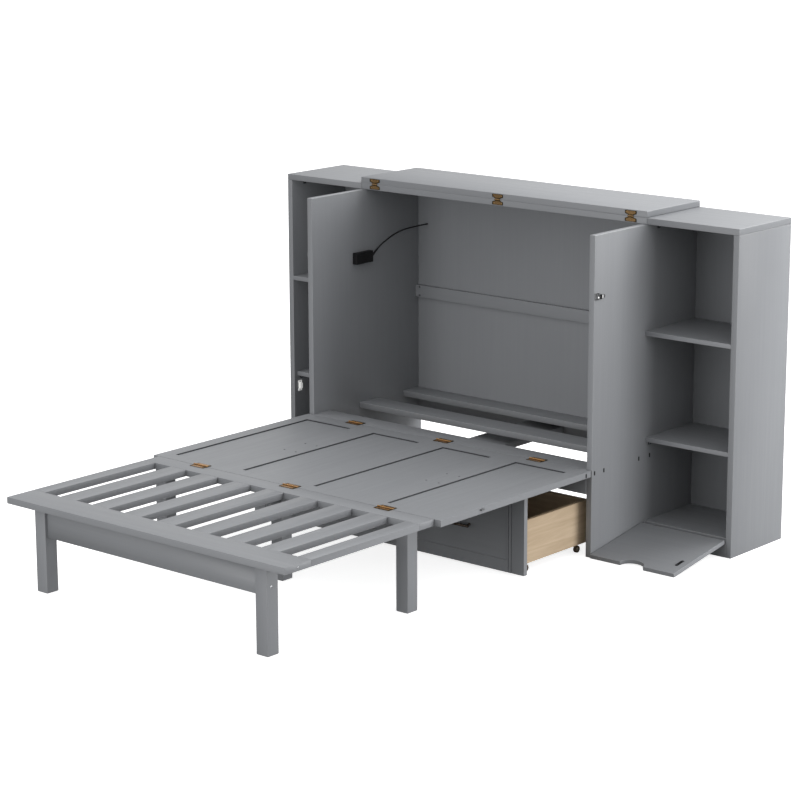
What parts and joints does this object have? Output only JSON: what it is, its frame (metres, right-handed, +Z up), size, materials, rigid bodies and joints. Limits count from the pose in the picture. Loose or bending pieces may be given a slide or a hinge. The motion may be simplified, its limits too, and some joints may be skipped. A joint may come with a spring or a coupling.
{
  "type": "murphy wall bed",
  "caption": "Low wall cabinet with shelved side units whose centre bay holds a fold-out slatted bed, a rolling drawer and a folding lid.",
  "frame": {"origin": "on the floor, under the middle of the open bed (bottom centre of the box around it)", "axes": "+X to the right seen from the foot of the bed, +Y towards the wall, +Z up"},
  "size_m": [2.2798, 2.3596, 1.2948],
  "materials": {
    "grey_paint": "satin grey paint over wood",
    "plywood": "clear lacquer",
    "brass": "antique brass",
    "bronze": "dark bronze",
    "black_plastic": "matt",
    "steel": "zinc plated",
    "wheel_rubber": "matt"
  },
  "bodies": {
    "cabinet": {"left_side_panel": "grey_paint", "right_side_panel": "grey_paint", "left_partition": "grey_paint", "right_partition": "grey_paint", "left_back_panel": "grey_paint", "centre_back_panel": "grey_paint", "right_back_panel": "grey_paint", "left_top_board": "grey_paint", "centre_top_board": "grey_paint", "right_top_board": "grey_paint", "left_base": "grey_paint", "right_base": "grey_paint", "left_upper_shelf": "grey_paint", "left_lower_shelf": "grey_paint", "right_upper_shelf": "grey_paint", "right_lower_shelf": "grey_paint", "back_rail": "grey_paint", "rear_slat": "grey_paint", "front_slat": "grey_paint", "hinge_strip": "grey_paint", "platform_apron": "grey_paint", "centre_support": "grey_paint", "power_socket": "black_plastic", "power_cord": "black_plastic", "panel_hinge_rear_leaf": "brass"},
    "lid": {"lid_board": "grey_paint"},
    "bed_panel_body": {"bed_panel": "grey_paint", "panel_hinge_front_leaf": "brass", "fold_hinge_rear_leaf": "brass"},
    "slatted_section": {"head_rail": "grey_paint", "foot_rail": "grey_paint", "left_side_rail": "grey_paint", "right_side_rail": "grey_paint", "bed_slat_1": "grey_paint", "bed_slat_2": "grey_paint", "bed_slat_3": "grey_paint", "bed_slat_4": "grey_paint", "bed_slat_5": "grey_paint", "bed_slat_6": "grey_paint", "bed_slat_7": "grey_paint", "left_middle_leg": "grey_paint", "right_middle_leg": "grey_paint", "centre_middle_leg": "grey_paint", "left_foot_leg": "grey_paint", "right_foot_leg": "grey_paint", "foot_apron": "grey_paint", "fold_hinge_front_leaf": "brass"},
    "drawer": {"drawer_front": "grey_paint", "drawer_box": "plywood", "left_drawer_handle": "bronze", "right_drawer_handle": "bronze"},
    "left_door": {"left_drop_door": "grey_paint"},
    "right_door": {"right_drop_door": "grey_paint"},
    "left_latch": {"left_latch_bolt": "steel"},
    "right_latch": {"right_latch_bolt": "steel"},
    "front_left_wheel": {"front_left_drawer_wheel": "wheel_rubber"},
    "front_right_wheel": {"front_right_drawer_wheel": "wheel_rubber"},
    "rear_left_wheel": {"rear_left_drawer_wheel": "wheel_rubber"},
    "rear_right_wheel": {"rear_right_drawer_wheel": "wheel_rubber"}
  },
  "joints": [
    {"name": "lid_hinge", "type": "hinge", "parent": "cabinet", "child": "lid", "pos_m": [0, 0.819, 1.27], "axis": [1, 0, 0], "range_deg": [0, 180]},
    {"name": "bed_panel_hinge", "type": "hinge", "parent": "cabinet", "child": "bed_panel_body", "pos_m": [0, 0.485, 0.348], "axis": [-1, 0, 0], "range_deg": [0, 90]},
    {"name": "slat_fold_hinge", "type": "hinge", "parent": "bed_panel_body", "child": "slatted_section", "pos_m": [0, -0.408, 0.348], "axis": [-1, 0, 0], "range_deg": [0, 180]},
    {"name": "drawer_slide", "type": "slide", "parent": "cabinet", "child": "drawer", "axis": [0, 1, 0], "range_m": [0, 0.345]},
    {"name": "left_door_hinge", "type": "hinge", "parent": "cabinet", "child": "left_door", "pos_m": [-0.9195, 0.822, 0.054], "axis": [-1, 0, 0], "range_deg": [0, 98.97]},
    {"name": "right_door_hinge", "type": "hinge", "parent": "cabinet", "child": "right_door", "pos_m": [0.9195, 0.822, 0.054], "axis": [-1, 0, 0], "range_deg": [0, 98.97]},
    {"name": "left_latch_slide", "type": "slide", "parent": "cabinet", "child": "left_latch", "axis": [0, -1, 0], "range_m": [0, 0.022]},
    {"name": "right_latch_slide", "type": "slide", "parent": "cabinet", "child": "right_latch", "axis": [0, -1, 0], "range_m": [0, 0.022]},
    {"name": "front_left_wheel_spin", "type": "hinge", "parent": "drawer", "child": "front_left_wheel", "pos_m": [-0.638, 0.193, 0.014], "axis": [-1, 0, 0], "continuous": true},
    {"name": "front_right_wheel_spin", "type": "hinge", "parent": "drawer", "child": "front_right_wheel", "pos_m": [0.638, 0.193, 0.014], "axis": [-1, 0, 0], "continuous": true},
    {"name": "rear_left_wheel_spin", "type": "hinge", "parent": "drawer", "child": "rear_left_wheel", "pos_m": [-0.638, 0.515, 0.014], "axis": [-1, 0, 0], "continuous": true},
    {"name": "rear_right_wheel_spin", "type": "hinge", "parent": "drawer", "child": "rear_right_wheel", "pos_m": [0.638, 0.515, 0.014], "axis": [-1, 0, 0], "continuous": true}
  ],
  "couplings": [
    {"joint": "front_left_wheel_spin", "follows": "drawer_slide", "rad_per_m": 71.429},
    {"joint": "front_right_wheel_spin", "follows": "drawer_slide", "rad_per_m": 71.429},
    {"joint": "rear_left_wheel_spin", "follows": "drawer_slide", "rad_per_m": 71.429},
    {"joint": "rear_right_wheel_spin", "follows": "drawer_slide", "rad_per_m": 71.429}
  ]
}
